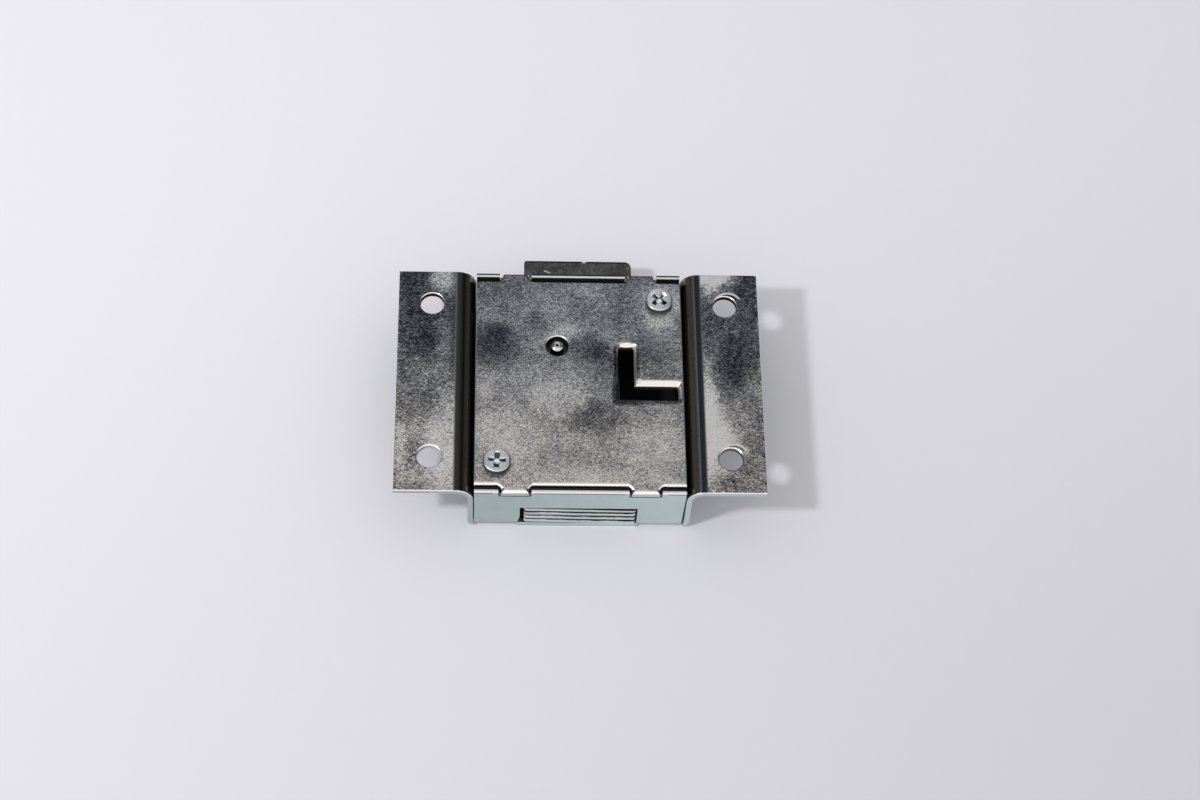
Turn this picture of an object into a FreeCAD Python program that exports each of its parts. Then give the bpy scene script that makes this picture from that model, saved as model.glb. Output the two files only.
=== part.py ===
import FreeCAD, Part
import os
import re
import Sketcher

# A surface-mounted cabinet lock: a folded sheet-metal case with two flanges, a screwed cap
# with an L-shaped keyhole, a laminated bolt and four pivoted levers.
# X runs from flange to flange, +Y is the way the bolt is thrown, +Z goes from base to cap.
# The origin is the centre of the case's underside. Lengths in millimetres, angles in degrees.

sizes = {
    # Folded case
    "sheet_thickness": 1.2,
    "case_width": 48.2,            # over the outer faces of the side walls
    "case_length": 56.0,           # over the outer faces of the end walls
    "case_height": 14.8,           # underside to the tops of the end walls
    "flange_span": 80.0,           # outer edge to outer edge
    "flange_height": 15.3,         # underside of the case to the top of the flanges
    "flange_bend": 2.8,            # inner radius of the bend below each flange
    "base_bend": 1.9,              # outer radius of the bends along the underside
    "seam_gap": 0.2,               # between an end wall and each side wall
    "seam_taper": 0.35,            # how much further the right seam opens at the bottom
    "flange_hole": 5.2,
    "flange_hole_row": 65.0,       # spacing of the flange holes along X
    "flange_hole_pitch": 39.0,     # spacing of the flange holes along Y
    "hole_roll": 0.45,             # rolled edge left by the punch
    "sheet_roll": 0.25,            # the same along the upper edges of the blank
    "wall_roll": 0.3,              # and along the tops of the end walls
    # Cap
    "cap_thickness": 1.5,
    "cap_side_gap": 0.1,           # cap edge to side wall
    "cap_end_gap": 0.6,            # cap edge to the inner face of an end wall
    "tab_offset": 14.0,            # centre of a tab from the middle of the lock
    "tab_width": 5.9,              # at the tip
    "tab_flare": 0.8,              # how much wider the root is on each side
    "notch_gap": 0.6,              # at each side of a tab in its notch
    "notch_drop": 0.3,             # between a tab and the bottom of its notch
    "cap_roll": 0.7,               # rolled upper edges of the cap's ends and tabs
    "cap_side_roll": 0.2,          # the same along its sides
    "keyhole_roll": 0.75,          # rolled upper edge of the keyhole
    "keyhole_width": 3.2,
    "keyhole_corner": 0.4,         # plan radius of its corners
    "keyhole_margin": 1.1,         # metal between the keyhole and the cap's side
    "keyhole_reach_along": 11.65,  # key axis to the end of the arm along Y
    "keyhole_reach_across": 11.25,  # key axis to the end of the arm along X
    "key_along": -2.75,            # key axis in Y
    "key_reach": 11.0,             # key axis to the tip of the key's bit
    "key_tip_hole": 4.0,           # pilot hole in the base for the key's tip
    "cap_post_hole": 5.0,
    "post_hole_roll": 0.3,
    # Cap screws and the pillars that they screw into
    "screw_thread": 2.9,
    "screw_length": 8.0,           # below the head
    "screw_point": 0.45,
    "screw_head": 6.0,
    "screw_head_side": 1.2,        # height of the head's cylindrical side
    "screw_head_round": 0.3,       # radius of the head's upper edge
    "screw_hole": 3.4,
    "cross_length": 3.7,           # the driver recess
    "cross_width": 0.95,
    "cross_depth": 1.0,
    "pillar_diameter": 6.5,
    "pillar_shift": 0.4,           # outwards, from midway between bolt and side wall
    "pillar_end_gap": 2.85,        # pillar to the inner face of an end wall
    "bore_spare": 0.5,             # tapped bore beyond the screw's point
    "drill_angle": 59.0,           # half the angle of the drill's point
    "spigot_diameter": 3.6,        # riveted ends of the pillars and the post
    "fit_gap": 0.03,               # radial gap of pressed and riveted pins
    # Laminated bolt
    "bolt_width": 24.3,
    "bolt_offset": 0.15,           # middle of the bolt from the middle of the lock
    "bolt_projection": 8.2,        # thrown bolt beyond the end wall
    "bolt_travel": 8.0,
    "bolt_lift": 0.05,             # running gap between the base and the bolt
    "window_left_gap": 0.85,       # bolt to the left side of a window
    "window_right_gap": 0.28,
    "window_top_gap": 0.15,
    "window_flare": 0.55,          # how much a window's left side leans out at the bottom
    "nose_radius": 1.5,            # right corner of the bolt's nose
    "heel_radius": 0.6,            # the bolt's other corners
    "plate_edge": 0.25,            # rounded edges across the two ends of each plate
    "talon_depth": 1.2,            # how far the key's bit reaches into the bolt
    "talon_width": 4.2,
    "key_clearance": 0.4,          # round the sweep of the key's bit
    "rivet_diameter": 2.5,
    "rivet_inset": 2.7,            # rivet axis from the bolt's edges
    "stump_diameter": 3.4,
    "stump_spigot": 2.6,
    "stump_offset": 0.8,           # stump axis left of the post's
    "stump_along": -8.5,           # stump axis in Y with the bolt thrown
    # Levers and their post
    "post_shift": 0.875,           # post axis right of the middle of the bolt's web
    "post_along": 9.0,
    "collar_diameter": 5.0,        # the part of the post that guides the bolt
    "collar_gap": 0.3,             # collar to the sides of the bolt's slot
    "collar_rise": 0.3,            # collar above the bolt
    "bearing_diameter": 4.2,
    "bearing_gap": 0.06,           # radial running gap of levers and washer
    "post_tip": 2.9,
    "post_tip_rise": 0.35,         # top of the post above the face of the cap
    "post_dome": 0.6,              # rise of the post's rounded end
    "lever_thickness": 1.0,
    "lever_gap": 0.15,             # between levers, and above the post's collar
    "lever_head": 5.2,             # radius of the lever round its post
    "head_flat": 0.5,              # straight part left beside the head's round corner
    "lever_rim": 2.2,              # metal left round the gate
    "lever_belly": 8.6,            # key axis to the curved edge that the key lifts
    "belly_half_height": 5.0,
    "belly_horn": 7.05,            # key axis to the two ends of that edge, in X
    "gate_gap": 0.45,              # stump to the sides of the gate
    "pocket_depth": 1.2,           # how far each pocket steps back from the gate
    "lever_lift_1": 5.0,           # angle that each lever turns through
    "lever_lift_2": 4.2,
    "lever_lift_3": 4.6,
    "lever_lift_4": 3.8,
    "washer_diameter": 7.4,
    "washer_thickness": 0.35,
    "washer_clearance": 0.125,     # washer to the underside of the cap
    # Lever springs
    "spring_strip": 0.3,
    "spring_height": 0.8,
    "spring_radius": 12.0,         # outer radius of the curved strip
    "spring_wall_gap": 0.3,        # strip to side wall
    "spring_seat": 2.4,            # length of strip held in the lever
    "spring_rise": 3.2,            # top of the spring's curve above the post
    "cut_over": 1.0,               # how far a cut is drawn beyond the metal
}

lever_count = 4
plate_count = 4

# Places that follow from the sizes, as expressions of them. In Z the levers hang below the
# cap and the bolt's plates share what is left above the base.
side_wall = "case_width / 2"
side_inner = "(case_width / 2 - sheet_thickness)"
end_wall = "case_length / 2"
end_inner = "(case_length / 2 - sheet_thickness)"
end_half_width = f"({side_inner} - seam_gap)"
cap_under = "(case_height - cap_thickness)"
cap_half_width = f"({side_inner} - cap_side_gap)"
cap_half_length = f"({end_inner} - cap_end_gap)"
washer_top = f"({cap_under} - washer_clearance)"
washer_bottom = f"({washer_top} - washer_thickness)"
levers_top = f"({washer_bottom} - lever_gap / 2)"
levers_bottom = f"({levers_top} - {lever_count} * lever_thickness - {lever_count - 1} * lever_gap)"
collar_top = f"({levers_bottom} - lever_gap)"
bolt_top = f"({collar_top} - collar_rise)"
bolt_bottom = "(sheet_thickness + bolt_lift)"
plate_thickness = f"(({bolt_top} - {bolt_bottom}) / {plate_count})"
bolt_left = "(bolt_offset - bolt_width / 2)"
bolt_right = "(bolt_offset + bolt_width / 2)"
nose_along = f"({end_wall} + bolt_projection)"
window_left = f"({bolt_left} - window_left_gap)"
window_right = f"({bolt_right} + window_right_gap)"
screw_across = f"(({side_inner} + bolt_width / 2) / 2 + pillar_shift)"
screw_along = f"({end_inner} - pillar_diameter / 2 - pillar_end_gap)"
key_across = f"({cap_half_width} - keyhole_margin - keyhole_reach_across)"
recess_near = "(key_along - key_reach - key_clearance)"
recess_far = "(key_along + key_reach + bolt_travel + key_clearance)"
recess_across = f"({key_across} - key_reach + talon_depth)"
post_across = f"(({bolt_left} + {recess_across}) / 2 + post_shift)"
stump_across = f"({post_across} - stump_offset)"

# The same for the levers and their springs, measured from the post's axis
gate_half_width = "(stump_diameter / 2 + gate_gap)"
lever_left = f"(-stump_offset - {gate_half_width} - lever_rim)"
key_from_post = f"({key_across} - {post_across})"
key_below_post = "(key_along - post_along)"
ring_across = f"(spring_wall_gap + spring_radius - {side_inner} - {post_across})"
ring_along = "(spring_rise - spring_radius)"

document = FreeCAD.newDocument("cabinet_lock")
sheet = document.addObject("Spreadsheet::Sheet", "Sizes")
for row, (size_name, size) in enumerate(sizes.items(), start=1):
    sheet.set(f"A{row}", size_name)
    sheet.set(f"B{row}", str(size))
    sheet.setAlias(f"B{row}", size_name)
document.recompute()
pieces = []


def bound(expression):
    """The expression with every size's name pointed at the sheet."""
    return re.sub(r"\b[a-z]\w*\b(?!\()", lambda word: "Sizes." + word.group(), expression)


def value(expression):
    return float(sheet.evalExpression(bound(expression)))


def new_body(label, x="0", y="0", z="0", turn=0):
    body = document.addObject("PartDesign::Body", label)
    body.Label = label
    body.Placement = FreeCAD.Placement(FreeCAD.Vector(), FreeCAD.Rotation(turn, 0, 0))
    for axis, place in zip("xyz", (x, y, z)):
        body.setExpression(f"Placement.Base.{axis}", bound(place))
    pieces.append(body)
    return body


def new_sketch(body, plane, height="0"):
    """A sketch on one of the body's own planes, moved along the plane's normal."""
    sketch = body.newObject("Sketcher::SketchObject", body.Label + "_sketch")
    origin_plane = next(item for item in body.Origin.OriginFeatures if item.Role == plane)
    sketch.AttachmentSupport = [(origin_plane, "")]
    sketch.MapMode = "FlatFace"
    sketch.setExpression("AttachmentOffset.Base.z", bound(height))
    return sketch


def bind(sketch, kind, geometry, point, expression):
    """Ties a point's distance from the sketch's origin to an expression."""
    rule = Sketcher.Constraint(kind, -1, 1, geometry, point, value(expression))
    number = sketch.addConstraint(rule)
    sketch.setExpression(f"Constraints[{number}]", bound(expression))


def arc_middle(start, end, radius, side):
    """Middle of the short arc from start to end; side is 1 for a centre left of the way."""
    chord = end - start
    normal = FreeCAD.Vector(-chord.y, chord.x, 0).normalize()
    sagitta = radius - (radius ** 2 - (chord.Length / 2) ** 2) ** 0.5
    return (start + end) / 2 - normal * side * sagitta


def draw_outline(sketch, corners):
    """A closed outline whose corners are bound to the sizes.

    A corner is x and y, and starts a straight line to the next one. With a radius and a side
    it starts an arc instead, whose centre is on the left (1) or right (-1) of the way.
    """
    points = [FreeCAD.Vector(value(corner[0]), value(corner[1]), 0) for corner in corners]
    first = sketch.GeometryCount
    last = first + len(points) - 1
    ends = []
    for corner, start, end in zip(corners, points, points[1:] + points[:1]):
        if len(corner) == 2:
            sketch.addGeometry(Part.LineSegment(start, end), False)
            ends.append((1, 2))
            continue
        middle = arc_middle(start, end, value(corner[2]), corner[3])
        sketch.addGeometry(Part.Arc(start, middle, end), False)
        ends.append((1, 2) if corner[3] > 0 else (2, 1))
    for index, corner in enumerate(corners):
        line = first + index
        before = last if index == 0 else line - 1
        starts_at = ends[index][0]
        sketch.addConstraint(
            Sketcher.Constraint("Coincident", before, ends[index - 1][1], line, starts_at))
        bind(sketch, "DistanceX", line, starts_at, corner[0])
        bind(sketch, "DistanceY", line, starts_at, corner[1])
        if len(corner) > 2:
            radius = Sketcher.Constraint("Radius", line, value(corner[2]))
            number = sketch.addConstraint(radius)
            sketch.setExpression(f"Constraints[{number}]", bound(corner[2]))


def draw_box(sketch, left, right, bottom, top):
    draw_outline(sketch, [(left, bottom), (right, bottom), (right, top), (left, top)])


def draw_circle(sketch, x, y, diameter):
    centre = FreeCAD.Vector(value(x), value(y), 0)
    radius = value(diameter) / 2
    circle = sketch.addGeometry(Part.Circle(centre, FreeCAD.Vector(0, 0, 1), radius), False)
    bind(sketch, "DistanceX", circle, 3, x)
    bind(sketch, "DistanceY", circle, 3, y)
    number = sketch.addConstraint(Sketcher.Constraint("Diameter", circle, 2 * radius))
    sketch.setExpression(f"Constraints[{number}]", bound(diameter))


def pad(body, sketch, length, side="One side"):
    feature = body.newObject("PartDesign::Pad", body.Label + "_pad")
    feature.Profile = sketch
    feature.SideType = side
    feature.setExpression("Length", bound(length))
    sketch.Visibility = False
    document.recompute()
    return feature


def pocket(body, sketch, depth=None, side="One side"):
    """Cuts the sketch right through the body, or to a depth, and proves that it cut."""
    before = body.Shape.Volume
    feature = body.newObject("PartDesign::Pocket", body.Label + "_pocket")
    feature.Profile = sketch
    feature.SideType = side
    if depth is None:
        feature.Type = "ThroughAll"
    else:
        feature.setExpression("Length", bound(depth))
    sketch.Visibility = False
    document.recompute()
    if body.Shape.Volume > before - 1e-6:
        raise RuntimeError(f"{body.Label}: {feature.Label} cuts nothing")
    return feature


def revolve(body, corners):
    """Turns an outline of radius and height about the body's own Z axis."""
    sketch = new_sketch(body, "XZ_Plane")
    draw_outline(sketch, corners)
    feature = body.newObject("PartDesign::Revolution", body.Label + "_turned")
    feature.Profile = sketch
    feature.ReferenceAxis = (sketch, ["V_Axis"])
    feature.Angle = 360
    sketch.Visibility = False
    document.recompute()
    return feature


def edges_where(body, test, with_middle=True):
    """Names of the edges whose vertices, and their middle point too, pass the test."""
    names = []
    for number, edge in enumerate(body.Shape.Edges, start=1):
        points = [vertex.Point for vertex in edge.Vertexes]
        if with_middle:
            points.append(edge.valueAt((edge.FirstParameter + edge.LastParameter) / 2))
        if all(test(point) for point in points):
            names.append(f"Edge{number}")
    return names


def near(first, second):
    return abs(first - second) < 1e-4


def is_at(edge, x, y):
    return near(edge.Vertexes[0].X, x) and near(edge.Vertexes[0].Y, y)


def is_upright(edge):
    first, last = edge.Vertexes[0].Point, edge.Vertexes[-1].Point
    return near(first.x, last.x) and near(first.y, last.y) and not near(first.z, last.z)


def round_named(body, names, radius):
    if not names:
        raise RuntimeError(f"{body.Label}: no edge to round")
    base = body.Tip
    feature = body.newObject("PartDesign::Fillet", body.Label + "_fillet")
    feature.Base = (base, names)
    feature.setExpression("Radius", bound(radius))
    document.recompute()
    if "Invalid" in feature.State:
        raise RuntimeError(f"{body.Label}: {feature.Label} fails on {names}")


def round_edges(body, test, radius):
    round_named(body, edges_where(body, test), radius)


def case_section():
    """The folded blank seen from the end, with sharp corners that the bends then round."""
    flange_edge = "flange_span / 2"
    flange_under = "flange_height - sheet_thickness"
    right = [
        (side_wall, "0"),
        (side_wall, flange_under),
        (flange_edge, flange_under),
        (flange_edge, "flange_height"),
        (side_inner, "flange_height"),
        (side_inner, "sheet_thickness"),
    ]
    left = [(f"-({x})", z) for x, z in reversed(right)]
    return right + left


def round_bends(body):
    """Rounds the four folds, inside and outside, so that the sheet keeps its thickness."""
    folds = [
        (value(side_wall), 0, "base_bend"),
        (value(side_inner), value("sheet_thickness"), "base_bend - sheet_thickness"),
        (value(side_wall), value("flange_height - sheet_thickness"), "flange_bend"),
        (value(side_inner), value("flange_height"), "flange_bend + sheet_thickness"),
    ]
    for across, height, radius in folds:
        round_edges(body, lambda p: near(abs(p.x), across) and near(p.z, height), radius)


def roll_blank(body):
    """Rolls the upper edges of the blank, along the flanges and down both side walls."""
    top, base_face, wall_face = value("flange_height"), value("sheet_thickness"), value(side_inner)
    end, flange_edge = value(end_wall), value("flange_span / 2")

    def on_end_rim(p):
        on_face = near(p.z, top) or near(p.z, base_face) or near(abs(p.x), wall_face)
        return near(abs(p.y), end) and on_face

    rim = edges_where(body, on_end_rim, with_middle=False)
    rim += edges_where(body, lambda p: near(p.z, top) and near(abs(p.x), flange_edge))
    round_named(body, rim, "sheet_roll")


def end_wall_section(side):
    """An end wall and the fold that joins it to the base."""
    way = int(side)
    inner_bend = "(base_bend - sheet_thickness)"
    return [
        (f"{side} * ({end_wall} - base_bend)", "0", "base_bend", way),
        (f"{side} * {end_wall}", "base_bend"),
        (f"{side} * {end_wall}", "case_height"),
        (f"{side} * {end_inner}", "case_height"),
        (f"{side} * {end_inner}", "base_bend", inner_bend, -way),
        (f"{side} * ({end_wall} - base_bend)", "sheet_thickness"),
    ]


def make_case():
    body = new_body("case")
    sketch = new_sketch(body, "XZ_Plane")
    draw_outline(sketch, case_section())
    pad(body, sketch, "case_length", "Symmetric")
    round_bends(body)
    roll_blank(body)

    # The base stops short of the end walls' folds, except across the windows
    sketch = new_sketch(body, "XY_Plane")
    flare_left = f"{window_left} - window_flare"
    for side in ("1", "-1"):
        fold = f"{side} * ({end_wall} - base_bend)"
        beyond = f"{side} * ({end_wall} + cut_over)"
        draw_box(sketch, f"-{side_inner}", flare_left, fold, beyond)
        draw_box(sketch, window_right, side_inner, fold, beyond)
    pocket(body, sketch, side="Symmetric")

    for side in ("1", "-1"):
        sketch = new_sketch(body, "YZ_Plane")
        draw_outline(sketch, end_wall_section(side))
        pad(body, sketch, f"2 * {end_half_width}", "Symmetric")

    # Windows for the bolt, notches for the cap's tabs and the tapered right seams
    sketch = new_sketch(body, "XZ_Plane")
    window_top = f"({bolt_top} + window_top_gap)"
    draw_outline(sketch, [
        (flare_left, "sheet_thickness"),
        (window_right, "sheet_thickness"),
        (window_right, window_top),
        (window_left, window_top),
        (window_left, f"{window_top} / 2"),
    ])
    notch_half = "(tab_width / 2 + notch_gap)"
    for side in ("1", "-1"):
        middle = f"{side} * tab_offset"
        draw_box(sketch, f"{middle} - {notch_half}", f"{middle} + {notch_half}",
                 f"{cap_under} - notch_drop", "case_height + cut_over")
    draw_outline(sketch, [
        (f"{end_half_width} - seam_taper", "sheet_thickness"),
        (f"{end_half_width} + seam_gap / 2", "sheet_thickness"),
        (f"{end_half_width} + seam_gap / 2", cap_under),
        (end_half_width, cap_under),
    ])
    pocket(body, sketch, side="Symmetric")
    wall_top, end = value("case_height"), value(end_wall)
    round_edges(body, lambda p: near(p.z, wall_top) and near(abs(p.y), end), "wall_roll")

    # Rivet holes of the pillars and the post, and the pilot hole for the key's tip
    sketch = new_sketch(body, "XY_Plane")
    spigot_hole = "spigot_diameter + 2 * fit_gap"
    draw_circle(sketch, screw_across, screw_along, spigot_hole)
    draw_circle(sketch, f"-{screw_across}", f"-{screw_along}", spigot_hole)
    draw_circle(sketch, post_across, "post_along", spigot_hole)
    draw_circle(sketch, key_across, "key_along", "key_tip_hole")
    pocket(body, sketch, side="Symmetric")

    sketch = new_sketch(body, "XY_Plane")
    for x_side in ("1", "-1"):
        for y_side in ("1", "-1"):
            draw_circle(sketch, f"{x_side} * flange_hole_row / 2", f"{y_side} * flange_hole_pitch / 2",
                        "flange_hole")
    pocket(body, sketch, side="Symmetric")
    top, hole_reach = value("flange_height"), value("flange_hole")
    hole_across, hole_along = value("flange_hole_row / 2"), value("flange_hole_pitch / 2")

    def on_hole_rim(p):
        from_axis = max(abs(abs(p.x) - hole_across), abs(abs(p.y) - hole_along))
        return near(p.z, top) and from_axis < hole_reach

    round_edges(body, on_hole_rim, "hole_roll")
    return body


def cap_outline():
    """The cap's plate with its four tabs, going round from the near left corner."""
    tip = "tab_width / 2"
    root = "(tab_width / 2 + tab_flare)"
    shoulder = f"({cap_half_length} + tab_flare)"
    near_side = [(f"-{cap_half_width}", f"-{cap_half_length}")]
    for middle in ("-tab_offset", "tab_offset"):
        near_side += [
            (f"{middle} - {root}", f"-{cap_half_length}"),
            (f"{middle} - {tip}", f"-{shoulder}"),
            (f"{middle} - {tip}", f"-{end_wall}"),
            (f"{middle} + {tip}", f"-{end_wall}"),
            (f"{middle} + {tip}", f"-{shoulder}"),
            (f"{middle} + {root}", f"-{cap_half_length}"),
        ]
    near_side.append((cap_half_width, f"-{cap_half_length}"))
    far_side = [(x, f"-({y})") for x, y in reversed(near_side)]
    return near_side + far_side


def make_cap():
    body = new_body("cap")
    sketch = new_sketch(body, "XY_Plane", cap_under)
    draw_outline(sketch, cap_outline())
    pad(body, sketch, "cap_thickness")
    top, side = value("case_height"), value(cap_half_width)
    inside_end = value(f"{cap_half_length} - cap_end_gap")
    round_edges(body, lambda p: near(p.z, top) and abs(p.y) > inside_end, "cap_roll")
    round_edges(body, lambda p: near(p.z, top) and near(abs(p.x), side), "cap_side_roll")

    # The elbow's inner corner stays sharp, and the other corners and the lip are rounded
    arm = "keyhole_width / 2"
    left, elbow_right = f"{key_across} - {arm}", f"{key_across} + {arm}"
    bottom, elbow_top = f"key_along - {arm}", f"key_along + {arm}"
    across_end = f"{key_across} + keyhole_reach_across"
    along_end = "key_along + keyhole_reach_along"
    sketch = new_sketch(body, "XY_Plane")
    draw_outline(sketch, [
        (left, bottom),
        (across_end, bottom),
        (across_end, elbow_top),
        (elbow_right, elbow_top),
        (elbow_right, along_end),
        (left, along_end),
    ])
    pocket(body, sketch, side="Symmetric")
    spare = value("keyhole_margin / 2")
    middle_x, middle_y = value(f"({left} + {across_end}) / 2"), value(f"({bottom} + {along_end}) / 2")
    reach_x = value(f"({across_end} - ({left})) / 2") + spare
    reach_y = value(f"({along_end} - ({bottom})) / 2") + spare

    def in_keyhole(p):
        return abs(p.x - middle_x) < reach_x and abs(p.y - middle_y) < reach_y

    elbow_x, elbow_y = value(elbow_right), value(elbow_top)
    edges = {name: body.Shape.getElement(name) for name in edges_where(body, in_keyhole)}
    corners = [name for name, edge in edges.items()
               if is_upright(edge) and not is_at(edge, elbow_x, elbow_y)]
    round_named(body, corners, "keyhole_corner")
    round_edges(body, lambda p: near(p.z, top) and in_keyhole(p), "keyhole_roll")

    sketch = new_sketch(body, "XY_Plane")
    draw_circle(sketch, screw_across, screw_along, "screw_hole")
    draw_circle(sketch, f"-{screw_across}", f"-{screw_along}", "screw_hole")
    draw_circle(sketch, post_across, "post_along", "cap_post_hole")
    pocket(body, sketch, side="Symmetric")
    post = FreeCAD.Vector(value(post_across), value("post_along"), top)
    rim = value("cap_post_hole")
    round_edges(body, lambda p: near(p.z, top) and (p - post).Length < rim, "post_hole_roll")
    return body


def make_pillar(label, side):
    """A tapped pillar, riveted into the base, that carries one corner of the cap."""
    body = new_body(label, f"{side} * {screw_across}", f"{side} * {screw_along}")
    spigot = "spigot_diameter / 2"
    bore = "(screw_thread / 2 + fit_gap)"
    bore_floor = "(case_height - screw_length - bore_spare)"
    revolve(body, [
        ("0", "0"),
        (spigot, "0"),
        (spigot, "sheet_thickness"),
        ("pillar_diameter / 2", "sheet_thickness"),
        ("pillar_diameter / 2", cap_under),
        (bore, cap_under),
        (bore, bore_floor),
        ("0", f"{bore_floor} - {bore} / tan(drill_angle)"),
    ])
    return body


def make_cap_screw(label, side, turn):
    """A pan-head screw with a cross recess, seated on the cap."""
    body = new_body(label, f"{side} * {screw_across}", f"{side} * {screw_along}", "case_height",
                    turn)
    shank = "screw_thread / 2"
    head = "screw_head / 2"
    head_top = "screw_head_side + screw_head_round"
    revolve(body, [
        ("0", "-screw_length"),
        (f"{shank} - screw_point", "-screw_length"),
        (shank, "screw_point - screw_length"),
        (shank, "0"),
        (head, "0"),
        (head, "screw_head_side", "screw_head_round", 1),
        (f"{head} - screw_head_round", head_top),
        ("0", head_top),
    ])
    sketch = new_sketch(body, "XY_Plane", head_top)
    long_arm = "cross_length / 2"
    short_arm = "cross_width / 2"
    corners = []
    for x, y in ((1, 1), (-1, 1), (-1, -1), (1, -1)):
        arms = [
            (f"{x} * {long_arm}", f"{y} * {short_arm}"),
            (f"{x} * {short_arm}", f"{y} * {short_arm}"),
            (f"{x} * {short_arm}", f"{y} * {long_arm}"),
        ]
        corners += arms if x * y > 0 else arms[::-1]
    draw_outline(sketch, corners)
    pocket(body, sketch, "cross_depth")
    return body


def make_lever_post():
    """A shouldered post: riveted foot, collar that guides the bolt, bearing for the levers."""
    body = new_body("lever_post", post_across, "post_along")
    foot = "spigot_diameter / 2"
    collar = "collar_diameter / 2"
    bearing = "bearing_diameter / 2"
    tip = "post_tip / 2"
    bearing_top = f"{cap_under} - lever_gap / 2"
    tip_top = "case_height + post_tip_rise"
    dome_radius = f"(({tip}) ^ 2 + post_dome ^ 2) / (2 * post_dome)"
    revolve(body, [
        ("0", "0"),
        (foot, "0"),
        (foot, "sheet_thickness"),
        (collar, "sheet_thickness"),
        (collar, collar_top),
        (bearing, collar_top),
        (bearing, bearing_top),
        (tip, bearing_top),
        (tip, f"{tip_top} - post_dome", dome_radius, 1),
        ("0", tip_top),
    ])
    return body


def make_lever_washer():
    body = new_body("lever_washer", post_across, "post_along")
    bore = "bearing_diameter / 2 + bearing_gap"
    rim = "washer_diameter / 2"
    revolve(body, [
        (bore, washer_bottom),
        (rim, washer_bottom),
        (rim, washer_top),
        (bore, washer_top),
    ])
    return body


def bolt_outline():
    """One plate of the bolt: nose, web beside the key's sweep with its talon, and tail."""
    talon_bottom = f"{key_across} - key_reach - key_clearance / 2"
    talon_middle = "(key_along + bolt_travel / 2)"
    return [
        (bolt_left, f"-{end_wall}"),
        (bolt_right, f"-{end_wall}"),
        (bolt_right, recess_near),
        (recess_across, recess_near),
        (recess_across, f"{talon_middle} - talon_width / 2"),
        (talon_bottom, f"{talon_middle} - talon_width / 2"),
        (talon_bottom, f"{talon_middle} + talon_width / 2"),
        (recess_across, f"{talon_middle} + talon_width / 2"),
        (recess_across, recess_far),
        (bolt_right, recess_far),
        (bolt_right, nose_along),
        (bolt_left, nose_along),
    ]


def rivet_places():
    across = (f"{bolt_left} + rivet_inset", f"{bolt_right} - rivet_inset")
    along = (f"{recess_near} - rivet_inset", f"{recess_far} + rivet_inset")
    return [(x, y) for y in along for x in across]


def make_bolt_plate(number):
    body = new_body(f"bolt_plate_{number}")
    sketch = new_sketch(body, "XY_Plane", f"{bolt_bottom} + {number - 1} * {plate_thickness}")
    draw_outline(sketch, bolt_outline())
    for x, y in rivet_places():
        draw_circle(sketch, x, y, "rivet_diameter + 2 * fit_gap")
    draw_circle(sketch, stump_across, "stump_along", "stump_spigot + 2 * fit_gap")
    slot_half = "(collar_diameter / 2 + collar_gap)"
    draw_box(sketch, f"{post_across} - {slot_half}", f"{post_across} + {slot_half}",
             f"post_along - {slot_half}", f"post_along + bolt_travel + {slot_half}")
    pad(body, sketch, plate_thickness)

    left, right = value(bolt_left), value(bolt_right)
    tail, nose = -value(end_wall), value(nose_along)

    def at_corner(p, x, ends):
        return near(p.x, x) and any(near(p.y, end) for end in ends)

    round_edges(body, lambda p: at_corner(p, right, [nose]), "nose_radius")
    round_edges(body, lambda p: at_corner(p, left, [nose, tail]) or at_corner(p, right, [tail]),
                "heel_radius")
    round_edges(body, lambda p: near(p.y, tail) or near(p.y, nose), "plate_edge")
    return body


def make_bolt_rivet(number, place):
    x, y = place
    body = new_body(f"bolt_rivet_{number}", x, y)
    sketch = new_sketch(body, "XY_Plane", bolt_bottom)
    draw_circle(sketch, "0", "0", "rivet_diameter")
    pad(body, sketch, f"{bolt_top} - {bolt_bottom}")
    return body


def make_bolt_stump():
    """The pin that stands up from the bolt into the levers' gates."""
    body = new_body("bolt_stump", stump_across, "stump_along")
    revolve(body, [
        ("0", bolt_bottom),
        ("stump_spigot / 2", bolt_bottom),
        ("stump_spigot / 2", bolt_top),
        ("stump_diameter / 2", bolt_top),
        ("stump_diameter / 2", levers_top),
        ("0", levers_top),
    ])
    return body


def gate_end(lift):
    """Where the stump ends up in the lever's own frame once the bolt is drawn back."""
    back = "(stump_along - bolt_travel - post_along)"
    x = f"(-stump_offset * cos({lift}) - {back} * sin({lift}))"
    y = f"({back} * cos({lift}) - stump_offset * sin({lift}))"
    return x, y


def gate_outline(lift):
    """Front pocket, slanting gate and rear pocket that the stump runs through."""
    wide = gate_half_width
    start_x, start_y = "(-stump_offset)", "(stump_along - post_along)"
    end_x, end_y = gate_end(lift)
    slope = f"(({end_x} - {start_x}) / ({start_y} - {end_y}))"
    front_x = f"({start_x} + {slope} * {wide})"
    rear_x = f"({end_x} - {slope} * {wide})"
    return [
        (f"{start_x} - {wide}", f"{start_y} + {wide}"),
        (f"{start_x} + {wide} + pocket_depth", f"{start_y} + {wide}"),
        (f"{start_x} + {wide} + pocket_depth", f"{start_y} - {wide}"),
        (f"{front_x} + {wide}", f"{start_y} - {wide}"),
        (f"{rear_x} + {wide}", f"{end_y} + {wide}"),
        (f"{end_x} + {wide}", f"{end_y} + {wide}"),
        (f"{end_x} + {wide}", f"{end_y} - {wide}"),
        (f"{end_x} - {wide} - pocket_depth", f"{end_y} - {wide}"),
        (f"{end_x} - {wide} - pocket_depth", f"{end_y} + {wide}"),
        (f"{rear_x} - {wide}", f"{end_y} + {wide}"),
        (f"{front_x} - {wide}", f"{start_y} - {wide}"),
        (f"{start_x} - {wide}", f"{start_y} - {wide}"),
    ]


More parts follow.
